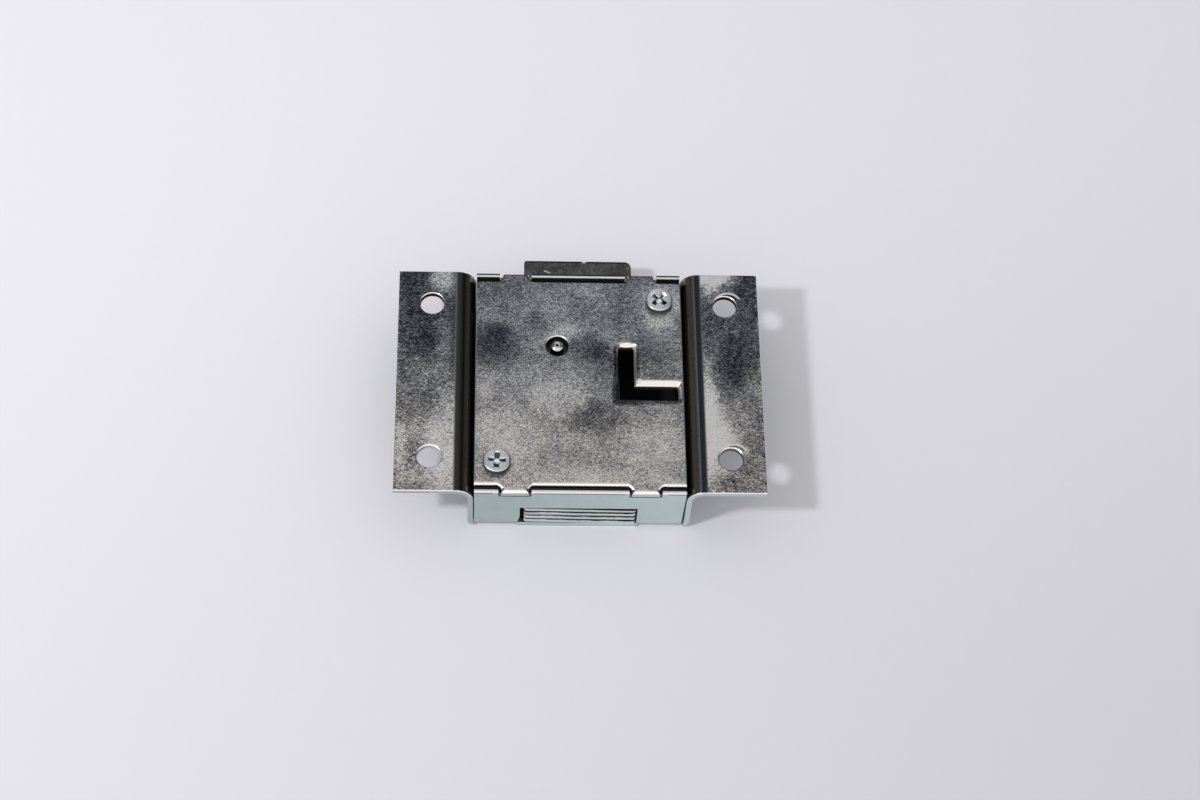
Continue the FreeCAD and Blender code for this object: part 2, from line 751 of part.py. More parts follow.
def lever_outline(lift):
    """A lever with a square shoulder for its spring, a belly for the key and a long tail."""
    end_x, end_y = gate_end(lift)
    tail_right = f"({end_x} + {gate_half_width} + lever_rim)"
    tail_along = f"({end_y} - {gate_half_width} - lever_rim)"
    horn = f"({key_from_post} - belly_horn)"
    return [
        (lever_left, tail_along),
        (tail_right, tail_along),
        (tail_right, f"{key_below_post} - 2 * belly_half_height"),
        (horn, f"{key_below_post} - belly_half_height"),
        (horn, f"{key_below_post} + belly_half_height"),
        ("lever_head", "0"),
        ("lever_head", "lever_head"),
        (lever_left, "lever_head"),
    ]


def lever_bottom(number):
    return f"({levers_bottom} + {number - 1} * (lever_thickness + lever_gap))"


def on_ring(x, radius):
    """Height in Y, at x, of a circle about the centre of the springs' curve."""
    return f"({ring_along} + sqrt(({radius}) ^ 2 - ({x} - {ring_across}) ^ 2))"


def strip_outline(start, end, gap):
    """A curved strip from x = start round to x = end, grown by a gap on all sides."""
    outer = f"(spring_radius + {gap})"
    inner = f"(spring_radius - spring_strip - {gap})"
    return [
        (start, on_ring(start, outer), outer, 1),
        (end, on_ring(end, outer)),
        (end, on_ring(end, inner), inner, -1),
        (start, on_ring(start, inner)),
    ]


def make_lever(number):
    """A lever drawn round its post, with the belly cut to a circle about the key's axis."""
    lift = f"lever_lift_{number}"
    body = new_body(f"lever_{number}", post_across, "post_along")
    sketch = new_sketch(body, "XY_Plane", lever_bottom(number))
    draw_outline(sketch, lever_outline(lift))
    draw_outline(sketch, gate_outline(lift))
    draw_circle(sketch, "0", "0", "bearing_diameter + 2 * bearing_gap")
    pad(body, sketch, "lever_thickness")

    sketch = new_sketch(body, "XY_Plane")
    draw_circle(sketch, key_from_post, key_below_post, "2 * lever_belly")
    seat_end = f"({lever_left} + spring_seat + fit_gap)"
    draw_outline(sketch, strip_outline(seat_end, f"({lever_left} - spring_strip)", "fit_gap"))
    pocket(body, sketch, side="Symmetric")
    head_x, head_y = value(f"{post_across} + lever_head"), value("post_along + lever_head")
    round_edges(body, lambda p: near(p.x, head_x) and near(p.y, head_y), "lever_head - head_flat")
    return body


def make_lever_spring(number):
    """A strip spring, held in its lever and bent round to bear on the case's side wall."""
    body = new_body(f"lever_spring_{number}", post_across, "post_along")
    bottom = f"{lever_bottom(number)} + (lever_thickness - spring_height) / 2"
    sketch = new_sketch(body, "XY_Plane", bottom)
    held = f"({lever_left} + spring_seat)"
    tip = f"({ring_across} - spring_radius)"
    inner = "(spring_radius - spring_strip)"
    draw_outline(sketch, [
        (held, on_ring(held, "spring_radius"), "spring_radius", 1),
        (tip, ring_along),
        (f"{tip} + spring_strip", ring_along, inner, -1),
        (held, on_ring(held, inner)),
    ])
    pad(body, sketch, "spring_height")
    return body


document.recompute()
make_case()
make_cap()
for end_name, end_side, end_turn in (("near", "-1", 0), ("far", "1", 45)):
    make_pillar(f"pillar_{end_name}", end_side)
    make_cap_screw(f"cap_screw_{end_name}", end_side, end_turn)
make_lever_post()
make_lever_washer()
for plate in range(1, plate_count + 1):
    make_bolt_plate(plate)
for count, spot in enumerate(rivet_places(), start=1):
    make_bolt_rivet(count, spot)
make_bolt_stump()
for lever in range(1, lever_count + 1):
    make_lever(lever)
    make_lever_spring(lever)

document.recompute()
for item in document.Objects:
    if {"Invalid", "Error"} & set(item.State):
        raise RuntimeError(f"{item.Label} failed: {item.State}")
for piece in pieces:
    if piece.Shape.isNull() or not piece.Shape.isValid() or len(piece.Shape.Solids) != 1:
        raise RuntimeError(f"{piece.Label} is not one valid solid")

os.makedirs("parts", exist_ok=True)
for piece in pieces:
    piece.Shape.exportStep(f"parts/{piece.Label}.step")
    print(f"{piece.Label}: {piece.Shape.Volume:.1f} mm3")
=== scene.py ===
import math

import bmesh
import bpy
from mathutils import Matrix, Vector


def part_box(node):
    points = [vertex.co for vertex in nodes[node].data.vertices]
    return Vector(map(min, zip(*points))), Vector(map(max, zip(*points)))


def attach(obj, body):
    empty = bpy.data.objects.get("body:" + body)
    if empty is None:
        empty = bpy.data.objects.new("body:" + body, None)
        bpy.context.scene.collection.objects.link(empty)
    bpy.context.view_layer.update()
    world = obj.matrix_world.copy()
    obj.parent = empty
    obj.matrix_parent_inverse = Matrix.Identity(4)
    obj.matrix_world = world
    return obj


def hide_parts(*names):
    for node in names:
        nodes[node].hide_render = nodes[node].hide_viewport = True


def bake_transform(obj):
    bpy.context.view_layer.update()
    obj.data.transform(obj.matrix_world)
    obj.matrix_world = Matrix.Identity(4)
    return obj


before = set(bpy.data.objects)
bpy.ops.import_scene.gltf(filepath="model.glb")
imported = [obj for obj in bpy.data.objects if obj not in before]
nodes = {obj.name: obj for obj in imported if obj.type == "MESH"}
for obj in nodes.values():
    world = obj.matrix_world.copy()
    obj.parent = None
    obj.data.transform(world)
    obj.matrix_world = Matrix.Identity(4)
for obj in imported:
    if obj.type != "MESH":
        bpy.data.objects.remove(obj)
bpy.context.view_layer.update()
mm = 0.001


class Wire:
    # One output socket. Sums on it add Math nodes, and node() adds any other kind.
    def __init__(self, tree, socket=None):
        self.tree = tree
        self.socket = socket

    def node(self, kind, settings=None, inputs=None, output=0):
        made = self.tree.nodes.new("ShaderNode" + kind)
        for name, setting in (settings or {}).items():
            setattr(made, name, setting)
        for name, given in (inputs or {}).items():
            if isinstance(given, Wire):
                self.tree.links.new(given.socket, made.inputs[name])
            else:
                made.inputs[name].default_value = given
        return Wire(self.tree, made.outputs[output]) if made.outputs else None

    def math(self, operation, *terms, clamp=False):
        settings = {"operation": operation, "use_clamp": clamp}
        return self.node("Math", settings, dict(enumerate(terms)))

    def __add__(self, other):
        return self.math("ADD", self, other)

    def __mul__(self, other):
        return self.math("MULTIPLY", self, other)

    def __sub__(self, other):
        return self.math("SUBTRACT", self, other)

    def __rsub__(self, other):
        return self.math("SUBTRACT", other, self)

    def size(self):
        return self.math("ABSOLUTE", self)

    def root(self):
        return self.math("SQRT", self)

    def atLeast(self, other):
        return self.math("MAXIMUM", self, other)

    def clamped(self):
        return self.math("ADD", self, 0.0, clamp=True)

    def ramp(self, low, high, lowResult=0.0, highResult=1.0):
        # A soft step from lowResult to highResult while the value goes from low to high
        inputs = {0: self, 1: low, 2: high, 3: lowResult, 4: highResult}
        return self.node("MapRange", {"interpolation_type": "SMOOTHSTEP"}, inputs)

    def step(self, pair, middle=0.0, results=(0.0, 1.0)):
        # The same between two places in millimetres, measured from a middle
        return self.ramp((middle + pair[0]) * mm, (middle + pair[1]) * mm, *results)

    def blend(self, first, second):
        # A colour that goes from first to second as this value goes from 0 to 1
        return self.node("Mix", {"data_type": "RGBA"}, {0: self, 6: first, 7: second}, output=2)


def colour(red, green, blue):
    return (red, green, blue, 1.0)


def startMaterial(name):
    material = bpy.data.materials.new(name)
    material.use_nodes = True
    material.node_tree.nodes.clear()
    return material, Wire(material.node_tree)


def finishMaterial(material, wire, inputs):
    shader = wire.node("BsdfPrincipled", {}, inputs)
    wire.node("OutputMaterial", {}, {"Surface": shader})
    return material


def place(wire):
    # The point on the object in metres, and its three parts
    point = wire.node("TexCoord", output=3)
    parts = [wire.node("SeparateXYZ", {}, {0: point}, output=index) for index in range(3)]
    return [point] + parts


def facing(wire):
    # The three parts of the way that the surface faces
    normal = wire.node("NewGeometry", output=1)
    return [wire.node("SeparateXYZ", {}, {0: normal}, output=index) for index in range(3)]


def noise(point, grain, detail=2.0, roughness=0.5, distortion=0.0, seed=0.0):
    # Cloud noise whose lumps are about grain metres across
    inputs = {"Vector": point, "W": seed, "Scale": 1 / grain, "Detail": detail,
              "Roughness": roughness, "Distortion": distortion}
    return point.node("TexNoise", {"noise_dimensions": "4D"}, inputs)


def bump(height, strength, distance, under=None):
    inputs = {"Strength": strength, "Distance": distance, "Height": height}
    if under is not None:
        inputs["Normal"] = under
    return height.node("Bump", {}, inputs)


def distanceTo(across, along, middleAcross, middleAlong):
    fromAcross, fromAlong = across - middleAcross * mm, along - middleAlong * mm
    return (fromAcross * fromAcross + fromAlong * fromAlong).root()


def spot(across, along, middle, radii):
    # 1 at a place on the sheet, fading to 0 at its two radii
    fromAcross = (across - middle[0] * mm) * (1 / (radii[0] * mm))
    fromAlong = (along - middle[1] * mm) * (1 / (radii[1] * mm))
    return (fromAcross * fromAcross + fromAlong * fromAlong).ramp(0.0, 1.0, 1.0, 0.0)


studio = {
    "azimuth": -4.96, "elevation": 59.0, "roll": 4.88,      # degrees, as the photo was taken
    "distance": 568.0, "aim": (4.83, -0.14, 7.0),           # millimetres
    "focalPixels": 2566.0, "imageWidth": 1200.0, "sensorWidth": 36.0, "clip": (0.01, 20.0),
    "keyFrom": (-344.0, -174.0, 460.0), "keySize": 0.06, "keyPower": 1.25,
    "fill": 0.67,
    "floorRadius": 4.0, "floorColour": colour(0.80, 0.797, 0.846), "fibre": 4 * mm,
    "floorAlong": (-130, 140), "alongPaintedShade": (0.89, 1.09),     # near and far
    "floorAcross": (-170, 170), "acrossPaintedShade": (1.02, 0.98),   # left and right
    "skyColour": colour(0.86, 0.86, 0.885),
    "overhead": colour(0.71, 0.72, 0.755), "front": colour(1.05, 1.03, 1.0),
    "roomLeft": colour(0.065, 0.068, 0.065), "roomRight": colour(0.03, 0.034, 0.036),
    # Where the dark room and the cloth in front begin, as parts of a direction
    "roomSides": (0.08, 0.32), "roomFar": (-0.1, 0.3), "roomBehind": (0.35, 0.7), "roomTop": (0.5, 0.25),
    "roomMiddle": (-0.1, 0.1), "clothInFront": (0.05, -0.5),
}


def makeCamera(studio):
    azimuth, elevation, roll = (math.radians(studio[key]) for key in ("azimuth", "elevation", "roll"))
    back = Vector((math.sin(azimuth) * math.cos(elevation),
                   -math.cos(azimuth) * math.cos(elevation), math.sin(elevation)))
    level = Vector((math.cos(azimuth), math.sin(azimuth), 0))
    upright = back.cross(level)
    right = level * math.cos(roll) + upright * math.sin(roll)
    up = upright * math.cos(roll) - level * math.sin(roll)
    data = bpy.data.cameras.new("camera")
    data.sensor_width = studio["sensorWidth"]
    data.lens = data.sensor_width * studio["focalPixels"] / studio["imageWidth"]
    data.clip_start, data.clip_end = studio["clip"]
    camera = bpy.data.objects.new("camera", data)
    bpy.context.scene.collection.objects.link(camera)
    turn = Matrix((right, up, back)).transposed().to_4x4()
    eye = (Vector(studio["aim"]) + back * studio["distance"]) * mm
    camera.matrix_world = Matrix.Translation(eye) @ turn
    bpy.context.scene.camera = camera


def makeFloor(studio):
    bpy.ops.object.select_all(action="DESELECT")
    bpy.ops.mesh.primitive_circle_add(vertices=96, radius=studio["floorRadius"], fill_type="NGON",
                                      location=(0, 0, 0))
    floor = bpy.context.object
    floor.name = "floor"
    material, wire = startMaterial("studioPaper")
    point, across, along = place(wire)[:3]
    # The floor is painted lighter to the far left and darker to the near right, a painted falloff of
    # light
    paintedShade = along.step(studio["floorAlong"], results=studio["alongPaintedShade"])
    paintedShade = paintedShade * across.step(studio["floorAcross"], results=studio["acrossPaintedShade"])
    fibre = noise(point, studio["fibre"], detail=3.0)
    # A blend stops at 1, so the shade is lowered by as much as the colour is raised
    headroom = 0.9
    raised = colour(*[part / headroom for part in studio["floorColour"][:3]])
    tint = ((fibre * 0.02 + 0.99) * paintedShade * headroom).blend(colour(0, 0, 0), raised)
    finishMaterial(material, wire, {"Base Color": tint, "Roughness": 0.9, "Specular IOR Level": 0.1})
    floor.data.materials.append(material)


def makeLights(studio):
    data = bpy.data.lights.new("keyLight", "AREA")
    data.shape, data.size, data.energy = "DISK", studio["keySize"], studio["keyPower"]
    key = bpy.data.objects.new("keyLight", data)
    bpy.context.scene.collection.objects.link(key)
    key.location = Vector(studio["keyFrom"]) * mm
    key.rotation_euler = (-key.location).to_track_quat("-Z", "Y").to_euler()

    world = bpy.data.worlds.new("studio")
    bpy.context.scene.world = world
    world.use_nodes = True
    world.node_tree.nodes.clear()
    wire = Wire(world.node_tree)
    way = wire.node("TexCoord", output=0)
    across, along, up = [wire.node("SeparateXYZ", {}, {0: way}, output=index) for index in range(3)]
    # Metal sees pale cloth in front and overhead, and a dark room far left, far right and behind
    dark = across.size().ramp(*studio["roomSides"]) * along.ramp(*studio["roomFar"])
    dark = dark.atLeast(along.ramp(*studio["roomBehind"]) * up.ramp(*studio["roomTop"]))
    room = across.ramp(*studio["roomMiddle"]).blend(studio["roomLeft"], studio["roomRight"])
    seen = dark.blend(studio["overhead"], room)
    seen = along.ramp(*studio["clothInFront"]).blend(seen, studio["front"])
    toCamera, glossy, transmitted = [wire.node("LightPath", output=index) for index in (0, 3, 6)]
    tint = (glossy + transmitted).clamped().blend(colour(*[studio["fill"]] * 3), seen)
    tint = toCamera.blend(tint, studio["skyColour"])
    lamp = wire.node("Background", {}, {"Color": tint, "Strength": 1.0})
    wire.node("OutputWorld", {}, {"Surface": lamp})


makeCamera(studio)
makeFloor(studio)
makeLights(studio)
bpy.context.scene.view_settings.view_transform = "Standard"
print("studio: camera, floor, key light and sky")


zinc = {
    # Several of these are painted light: the highlight, burnished and lip colours are painted
    # highlights, the pale hole-wall colour stands for lit floor seen through a hole, the bend, groove,
    # shaded-edge and shadow colours are painted shade, and the dark colour is the darkest tone and
    # painted shade too
    "dark": colour(0.016, 0.02, 0.03), "warmLight": colour(0.73, 0.67, 0.61),
    "coolLight": colour(0.63, 0.66, 0.68), "paintedHighlight": colour(1.0, 0.965, 0.925),
    "wall": colour(0.62, 0.71, 0.71), "burnishedHighlight": colour(0.92, 0.90, 0.87),
    "lip": colour(0.84, 0.81, 0.78), "shadedEdge": colour(0.06, 0.065, 0.07),
    "inside": colour(0.02, 0.02, 0.02), "bend": colour(0.36, 0.36, 0.35),
    "leftGrooveShade": colour(0.07, 0.07, 0.065), "rightGrooveShade": colour(0.035, 0.042, 0.055),
    "streak": colour(0.53, 0.41, 0.29), "paintedPaleWall": colour(0.60, 0.61, 0.63),
    "brownHoleWall": colour(0.22, 0.205, 0.17), "dull": colour(0.13, 0.135, 0.14),
    "grain": 0.42 * mm, "fineGrain": 0.2 * mm, "grainStretch": (0.62, 1, 1),
    "cloud": 9 * mm, "haze": 4 * mm, "drift": 6 * mm, "cloudTone": 0.45,
    "whitest": (1.5, 0.3),                          # highest tone, and how softly it is reached
    "grainTone": 1.5, "grainFade": (0.3, 0.95, 0.95, 1.35),
    "burr": 3.0, "burrAcross": (39.1, 40.0),
    "warmAlong": (22, -30), "highlightTone": (0.85, 1.5),
    "levelFacing": (0.90, 0.985), "rolledFacing": (0.1, 0.35), "rolledUp": (11.8, 12.6),
    "wallAcross": (-24, 24), "wallPaintedShades": (0.66, 0.84),
    "roughness": 0.40, "wallRoughness": 0.5, "burnishedRoughness": 0.22,
    "bump": (0.6, 0.08 * mm),
}


def zincSheet(wire, finish, look):
    # Worm-like grain on the flats, smooth walls, and burnished rolled edges with a painted highlight
    point, across, along, up = place(wire)
    facingZ = facing(wire)[2]
    seed = look["seed"]
    drawn = wire.node("Mapping", {}, {"Vector": point, "Scale": finish["grainStretch"]})
    grain = noise(drawn, finish["grain"], detail=2.5, roughness=0.65, distortion=0.9, seed=seed)
    fine = noise(drawn, finish["fineGrain"], detail=1.0, distortion=0.4, seed=seed + 3)
    cloud = noise(point, finish["cloud"], detail=3.0, roughness=0.6, seed=seed + 7)
    haze = noise(point, finish["haze"], detail=2.0, seed=seed + 12)
    tone = (cloud - 0.5) * finish["cloudTone"] + (haze - 0.5) * finish["cloudTone"]
    # The tone is painted lighter towards the near side, and lighter or darker in listed patches, as
    # painted reflections mixed with the sheet's mottling
    tone = tone + look["base"] + along * look["slope"]
    spotAcross = across + (cloud - 0.5) * finish["drift"]
    spotAlong = along + (haze - 0.5) * finish["drift"]
    for middle, radii, strength in look["mottleAndReflections"]:
        tone = tone + spot(spotAcross, spotAlong, middle, radii) * strength
    # The grain shows most where the sheet looks dark, and the sheared edges are burred
    tone = tone.math("SMOOTH_MIN", tone, *finish["whitest"])
    speckle = (grain - 0.5) * finish["grainTone"] + (fine - 0.5) * finish["grainTone"]
    tone = tone + speckle * tone.ramp(*finish["grainFade"])
    tone = tone + (fine - 0.5) * across.size().step(finish["burrAcross"]) * finish["burr"]
    even = tone.clamped()
    warm = along.step(finish["warmAlong"]) + (haze - 0.5) * 0.9
    light = warm.clamped().blend(finish["coolLight"], finish["warmLight"])
    flat = (even * even).blend(finish["dark"], light)
    # The brightest tones turn to a painted highlight
    flat = tone.ramp(*finish["highlightTone"]).blend(flat, finish["paintedHighlight"])
    level = facingZ.size().ramp(*finish["levelFacing"])
    # Rolled edges get a painted highlight on burnished metal, and the walls are painted lighter towards
    # the right, as painted light, with random tone
    rolled = facingZ.ramp(*finish["rolledFacing"]) * (1 - level) * up.step(finish["rolledUp"])
    paintedShade = cloud * 0.2 + haze * 0.1 + across.step(finish["wallAcross"], results=finish["wallPaintedShades"])
    wall = paintedShade.blend(colour(0, 0, 0), finish["wall"])
    surface = level.blend(rolled.blend(wall, finish["burnishedHighlight"]), flat)
    roughness = level * (finish["roughness"] - finish["wallRoughness"]) + finish["wallRoughness"]
    roughness = roughness + rolled * (finish["burnishedRoughness"] - finish["wallRoughness"])
    height = (grain * 0.7 + fine * 0.3) * level.ramp(0.0, 1.0, 0.2, 1.0)
    return surface, roughness + (grain - 0.5) * 0.2, height


tabs = {"root": (14.3, 4.2), "tip": (14.0, 2.95)}       # middle and half width, millimetres


def fromTabs(across, middle, half):
    # How far a place is beside the cap's four tabs, in metres
    return ((across.size() - middle * mm).size() - half * mm).atLeast(0.0)


caseLook = {
    "seed": 2.0, "base": 0.53, "slope": -7.0,
    # Painted reflections, light and dark, mixed with the sheet's mottling: middle, radii and strength
    "mottleAndReflections": [
        ((-28.6, 27), (6, 7), 0.66), ((-36, 27), (5, 5), -0.1), ((-35.6, 13), (6, 9), -0.19),
        ((-28.5, 4), (5, 12), 0.14), ((-28.2, -17), (6, 16), 0.5), ((-35, -15), (7, 7), 0.18),
        ((-35.8, -18.2), (2.6, 4), -0.22), ((-38.8, -18), (2.4, 9), 0.3),
        ((-36, -24.5), (4, 3), 0.12), ((28.5, 29), (9, 9), 0.55), ((28, 30.5), (7, 6.5), 0.85),
        ((36, 5), (7, 9), -0.27), ((28.5, 3), (4, 8), 0.03), ((26.8, -14), (7, 17), 0.6),
        ((26.5, -5), (4, 16), 0.45), ((36, -16), (6, 9), -0.02), ((38, 2), (3, 12), 0.2),
        ((30, -26), (7, 3), -0.12), ((30.5, -15.5), (6.5, 6), 0.45), ((34, -10), (5, 8), 0.1),
        ((30, 30), (6, 4), 0.35), ((28.5, 28), (5, 4.5), 0.6)],
    # Soft steps in millimetres or parts of a direction, each from where it starts to where it ends
    "right": (-1, 1), "leftOrNear": (-1, -3),
    "foldAcross": (27.6, 26.8), "foldUp": (10.5, 11.2), "foldFacing": ((0.6, 0.3), (0.05, 0.15)),
    "paintedDarkReflection": 0.6, "fadeAcross": (29.2, 27.5), "fadeUp": (15.0, 15.1), "fadeAlong": (-4, 4),
    "grooveShade": 26.2, "grooveHalf": (1.2, 0.8), "rightGrooveShade": (0.4, 0.3),    # further out, and narrower
    "streak": 24.45, "streakHalf": (0.6, 0.3),
    "topAlong": (26.6, 26.8), "topAcross": (24.3, 24.1), "topUp": (14.3, 14.5), "topPolish": 0.15,
    "farBright": 27.22, "farBrightHalf": (0.22, 0.3), "far": (26.0, 26.2),
    "nearDark": -26.8, "nearDarkHalf": (0.6, 0.5),
    "line": 0.75, "lineMiddle": 14.34, "lineHalf": (0.22, 0.1), "lineAlong": (-27.8, -27.9),
    "lineTabs": (0.1, 0.4), "lineAcross": (23.8, 23.6),
    "hole": (32.5, 19.5), "holeEdge": (3.05, 2.85), "holeUp": (15.18, 15.08),
    "roomAcross": (22.9, 22.8), "roomAlong": (27.1, 26.8), "roomTop": (14.76, 14.68),
    "roomFloor": (0.3, 0.9),
    "lipAcross": 33.3, "lipBeyond": 0.55, "lipRadius": 2.95, "lipHalf": (0.34, 0.2),
    "lipAlong": (1.6, 2.5), "lipFacing": (0.9, 0.95),
    "lipShade": 0.8, "lipShadeInside": 0.4, "lipShadeHalf": (0.28, 0.1),
}


def makeCaseFinish(finish, look, tabs):
    material, wire = startMaterial("zincCase")
    across, along, up = place(wire)[1:]
    facingY, facingZ = facing(wire)[1:]
    surface, roughness, height = zincSheet(wire, finish, look)
    fromMiddle = across.size()
    onRight = across.step(look["right"])
    onLeft, onNear = across.step(look["leftOrNear"]), along.step(look["leftOrNear"])
    # The left flange is painted dark beside its bend, on its far half, as a painted reflection
    paintedDarkReflection = fromMiddle.step(look["fadeAcross"]) * (1 - onRight) * up.step(look["fadeUp"])
    paintedDarkReflection = paintedDarkReflection * along.step(look["fadeAlong"]) * look["paintedDarkReflection"]
    surface = paintedDarkReflection.blend(surface, finish["dark"])
    # The bends under the flanges have no grain and are painted darker as shade, with painted shadow in
    # the groove and a worn brown line
    fold = fromMiddle.step(look["foldAcross"]) * up.step(look["foldUp"])
    sideways, upwards = look["foldFacing"]
    fold = fold * facingY.size().ramp(*sideways) * facingZ.ramp(*upwards)
    surface = fold.blend(surface, finish["bend"])
    further, narrower = look["rightGrooveShade"]
    fromGroove = (fromMiddle - look["grooveShade"] * mm - onRight * (further * mm)).size()
    grooveShade = (fromGroove + onRight * (narrower * mm)).step(look["grooveHalf"]) * fold
    surface = grooveShade.blend(surface, onRight.blend(finish["leftGrooveShade"], finish["rightGrooveShade"]))
    streak = (fromMiddle - look["streak"] * mm).size().step(look["streakHalf"]) * fold
    surface = streak.blend(surface, finish["streak"])
    # The end walls' tops get a painted highlight, apart from their inner edges and the far one's outer
    # edge, painted as shade
    wallTop = along.size().step(look["topAlong"]) * fromMiddle.step(look["topAcross"])
    wallTop = wallTop * up.step(look["topUp"])
    surface = wallTop.blend(surface, finish["burnishedHighlight"])
    roughness = roughness - wallTop * look["topPolish"]
    farEdge = (along - look["farBright"] * mm).size().step(look["farBrightHalf"])
    farEdge = farEdge * along.step(look["far"])
    nearEdge = (along - look["nearDark"] * mm).size().step(look["nearDarkHalf"])
    wallEdgeShade = nearEdge.atLeast(farEdge) * wallTop
    # A thin line of painted shade lies under the near wall's bright top, between the cap's tabs
    line = (up - look["lineMiddle"] * mm).size().step(look["lineHalf"]) * along.step(look["lineAlong"])
    line = line * fromTabs(across, *tabs["root"]).step(look["lineTabs"])
    line = line * fromMiddle.step(look["lineAcross"]) * look["line"]
    surface = line.blend(surface, finish["inside"])
    # The near left hole's wall is painted pale like the lit floor beyond it, the near right one's darker
    # brown, and the far ones' painted as shade
    fromHole = distanceTo(fromMiddle, along.size(), *look["hole"])
    holeWall = fromHole.step(look["holeEdge"]) * up.step(look["holeUp"])
    # The case's interior is painted dark as shade
    inside = fromMiddle.step(look["roomAcross"]) * along.size().step(look["roomAlong"])
    inside = inside * up.step(look["roomTop"]) * up.step(look["roomFloor"])
    surface = (holeWall * onLeft * onNear).blend(surface, finish["paintedPaleWall"])
    # The right holes were struck twice, which left a second lip on their far side, drawn as a painted
    # highlight beside painted shade
    for hole in (look["hole"][1], -look["hole"][1]):
        ring = distanceTo(across, along, look["lipAcross"], hole + look["lipBeyond"])
        ring = ring - look["lipRadius"] * mm
        farSide = along.step(look["lipAlong"], middle=hole) * facingZ.ramp(*look["lipFacing"])
        paintedShade = (ring + look["lipShadeInside"] * mm).size().step(look["lipShadeHalf"]) * farSide
        surface = (paintedShade * look["lipShade"]).blend(surface, finish["dark"])
        surface = (ring.size().step(look["lipHalf"]) * farSide).blend(surface, finish["paintedHighlight"])
    surface = (holeWall * onRight * onNear).blend(surface, finish["brownHoleWall"])
    paintedShadow = (holeWall * (1 - onNear)).atLeast(inside).atLeast(wallEdgeShade)
    return finishMaterial(material, wire, {
        "Base Color": paintedShadow.blend(surface, finish["inside"]), "Metallic": 1 - paintedShadow,
        "Roughness": roughness, "Specular IOR Level": 0.0,
        "Normal": bump(height, *finish["bump"])})


keyhole = {
    "across": 10.45, "along": -2.75, "halfWidth": 1.6, "reachAcross": 11.25, "reachAlong": 11.65,
    "elbow": 2.4, "farLip": 0.8, "lip": (1.0, 0.6), "lipJoin": 0.5,
    "dip": 0.3, "dipWidth": 1.5, "depth": 0.6,
    "armInset": 0.4, "endInset": 0.9, "dome": 250.0,        # for each millimetre further out
}
postHole = {"across": -4.8, "along": 9.0, "radius": 2.5}


def fromBox(across, along, low, high):
    # How far outside an upright rectangle a place is, in metres
    middle = [(low[index] + high[index]) / 2 * mm for index in range(2)]
    half = [(high[index] - low[index]) / 2 * mm for index in range(2)]
    beyondAcross = ((across - middle[0]).size() - half[0]).atLeast(0.0)
    beyondAlong = ((along - middle[1]).size() - half[1]).atLeast(0.0)
    return (beyondAcross * beyondAcross + beyondAlong * beyondAlong).root()


def fromKeyhole(across, along, keyhole, further=0.0):
    # How far outside the keyhole a place is. Its far sides can lie further out, with their ends drawn in
    half, inset = keyhole["halfWidth"], keyhole["armInset"] * further
    low = (keyhole["across"] - half, keyhole["along"] - half)
    fromArm = across - keyhole["across"] * mm
    domed = along + fromArm * fromArm * (keyhole["dome"] * further)
    armEnd = keyhole["along"] + keyhole["reachAlong"] + inset
    upright = fromBox(across, domed, (low[0] + inset, low[1]), (low[0] + 2 * half - inset, armEnd))
    footEnd = keyhole["across"] + keyhole["reachAcross"] - keyhole["endInset"] * further
    level = fromBox(across, along, low, (footEnd, low[1] + 2 * half + further))
    return upright.math("SMOOTH_MIN", upright, level, keyhole["elbow"] * mm)


capLook = {
    "seed": 11.0, "base": 0.73, "slope": -4.6,
    # Painted reflections, light and dark, mixed with the sheet's mottling: middle, radii and strength
    "mottleAndReflections": [
        ((-19.1, 9), (7, 8), -0.37), ((-14, 14), (8, 5), -0.08), ((-3.5, 11.5), (6, 5), 0.26),
        ((1.5, 8.5), (6, 5), -0.28), ((5.2, 5), (4, 9), -0.16), ((-4.3, -4.9), (9, 7), 0.16),
        ((-16.2, -13.9), (9, 10), 0.23), ((3, -9.5), (9, 5), -0.25), ((2, -18), (7, 5), -0.06),
        ((16.2, -16), (9, 10), 0.14), ((16, 5), (8, 8), -0.2), ((-17, 24), (8, 6), -0.05),
        ((0, -25), (24, 4), 0.16), ((18.5, 19.5), (8, 8), 0.3), ((0, 20), (10, 7), 0.06)],
    # Soft steps in millimetres or parts of a direction, the first three from the keyhole's elbow
    "besideAcross": (1.95, 2.25), "besideAlong": (2.6, 4.2), "shaded": (-1.3, -1.6),
    "shadedEdge": 0.85, "shadedAway": (0.8, 0.3),
    "lipFacing": (0.05, 0.2), "lipPolish": 0.2, "leftFacing": (-0.08, -0.3), "leftDull": 0.45,
    "nearEdge": -26.2, "tipAway": (0, 1.0), "tipReach": -1.8,
    "highlightAlong": (1.1, 0.5), "highlightUp": (14.35, 14.5), "highlightRagged": 1.0,
    "postAway": (0.12, 0.05), "postUp": (14.7, 14.5),
    "keyholeAway": (0.12, 0.06), "keyholeUp": (14.15, 14.0),
    "sideFacing": (0.1, 0.05), "sideAlong": (27.3, 27.0),
    "leanFacing": (0.12, 0.3), "leanLimit": (0.93, 0.86), "leanAway": (1.2, 1.4), "leanAlong": (0, 1),
    "underAlong": (-25.8, -26.1), "underUp": (14.5, 14.35), "underTabs": (0.1, 0.3),
    "dullAcross": (22.55, 22.62), "dullFacing": ((0.2, 0.1), (0.1, 0.2)),
}


